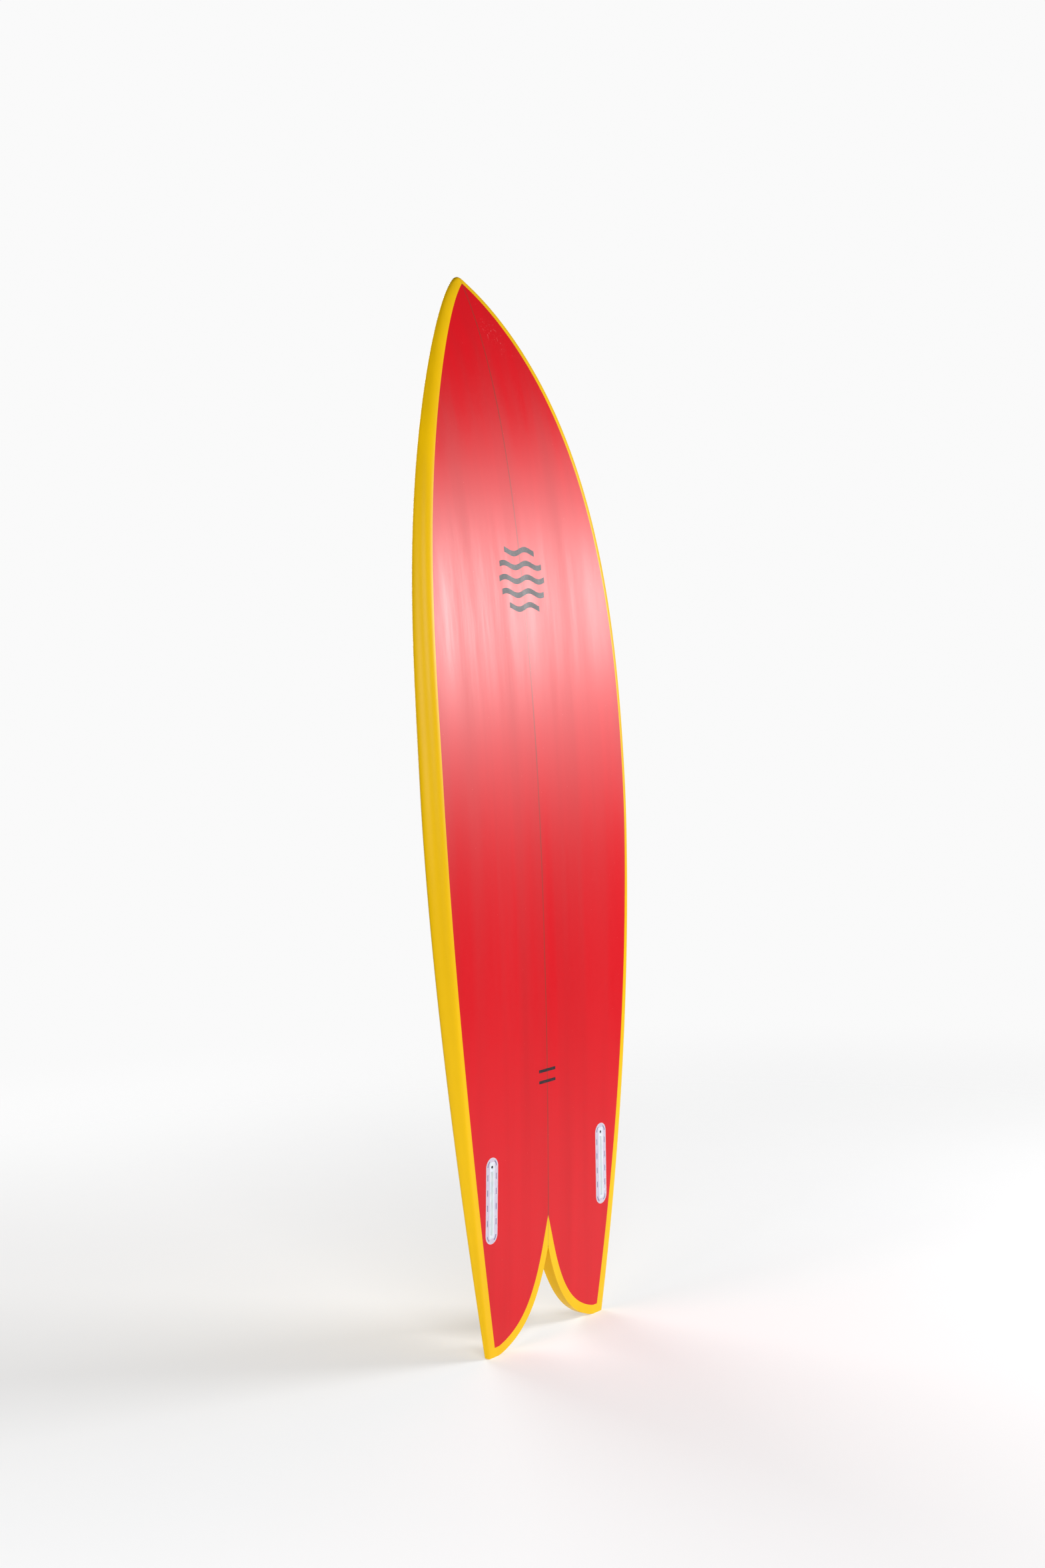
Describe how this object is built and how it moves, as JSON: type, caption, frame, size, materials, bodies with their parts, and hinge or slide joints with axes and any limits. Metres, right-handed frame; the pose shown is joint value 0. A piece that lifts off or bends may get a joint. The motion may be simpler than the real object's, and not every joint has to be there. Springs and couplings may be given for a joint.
{
  "type": "surfboard",
  "caption": "Short fish surfboard with a deep swallow tail: tinted glass over a foam core and wooden stringer, slotted fin boxes with grub screws, and a leash plug.",
  "frame": {"origin": "on the floor plane under the middle of the board: z = 0 is the lowest point of the two tail tips, x = 0 the centre line, y = 0 half way between the furthest point of the bottom and the nose's deck", "axes": "the board stands on its tail: +Z from the tail tips to the nose, +X across the board towards starboard as seen from the bottom side, +Y from the bottom to the deck"},
  "size_m": [0.5206, 0.1348, 1.7266],
  "materials": {
    "foam": "matt",
    "stringer_wood": "bare",
    "red_laminate": "satin, fine sanded",
    "clear_glass_ply": "bare glass cloth in resin",
    "yellow_laminate": "satin, fine sanded",
    "fin_box_plastic": "moulded, translucent",
    "bedding_resin": "cast resin",
    "screw_steel": "dark",
    "leash_plug_plastic": "moulded",
    "pin_steel": "brushed",
    "mark_grey": "printed tissue under resin",
    "mark_black": "printed tissue under resin"
  },
  "bodies": {
    "board": {"foam_core_port": "foam", "foam_core_starboard": "foam", "stringer": "stringer_wood", "bottom_laminate": "red_laminate", "deck_inner_ply": "clear_glass_ply", "deck_laminate": "yellow_laminate", "fin_box_port": "fin_box_plastic", "fin_box_starboard": "fin_box_plastic", "fin_box_bed_port": "bedding_resin", "fin_box_bed_starboard": "bedding_resin", "leash_plug_cup": "leash_plug_plastic", "leash_plug_bed": "bedding_resin", "leash_pin": "pin_steel", "wave_mark": "mark_grey", "bar_mark": "mark_black"},
    "fin_screw_port": {"fin_screw_port": "screw_steel"},
    "fin_screw_starboard": {"fin_screw_starboard": "screw_steel"}
  },
  "joints": [
    {"name": "fin_screw_port_travel", "type": "slide", "parent": "board", "child": "fin_screw_port", "axis": [-0.001, -0.9991, -0.0434], "range_m": [-0.001, 0.005]},
    {"name": "fin_screw_starboard_travel", "type": "slide", "parent": "board", "child": "fin_screw_starboard", "axis": [0.001, -0.9991, -0.0434], "range_m": [-0.001, 0.005]}
  ]
}
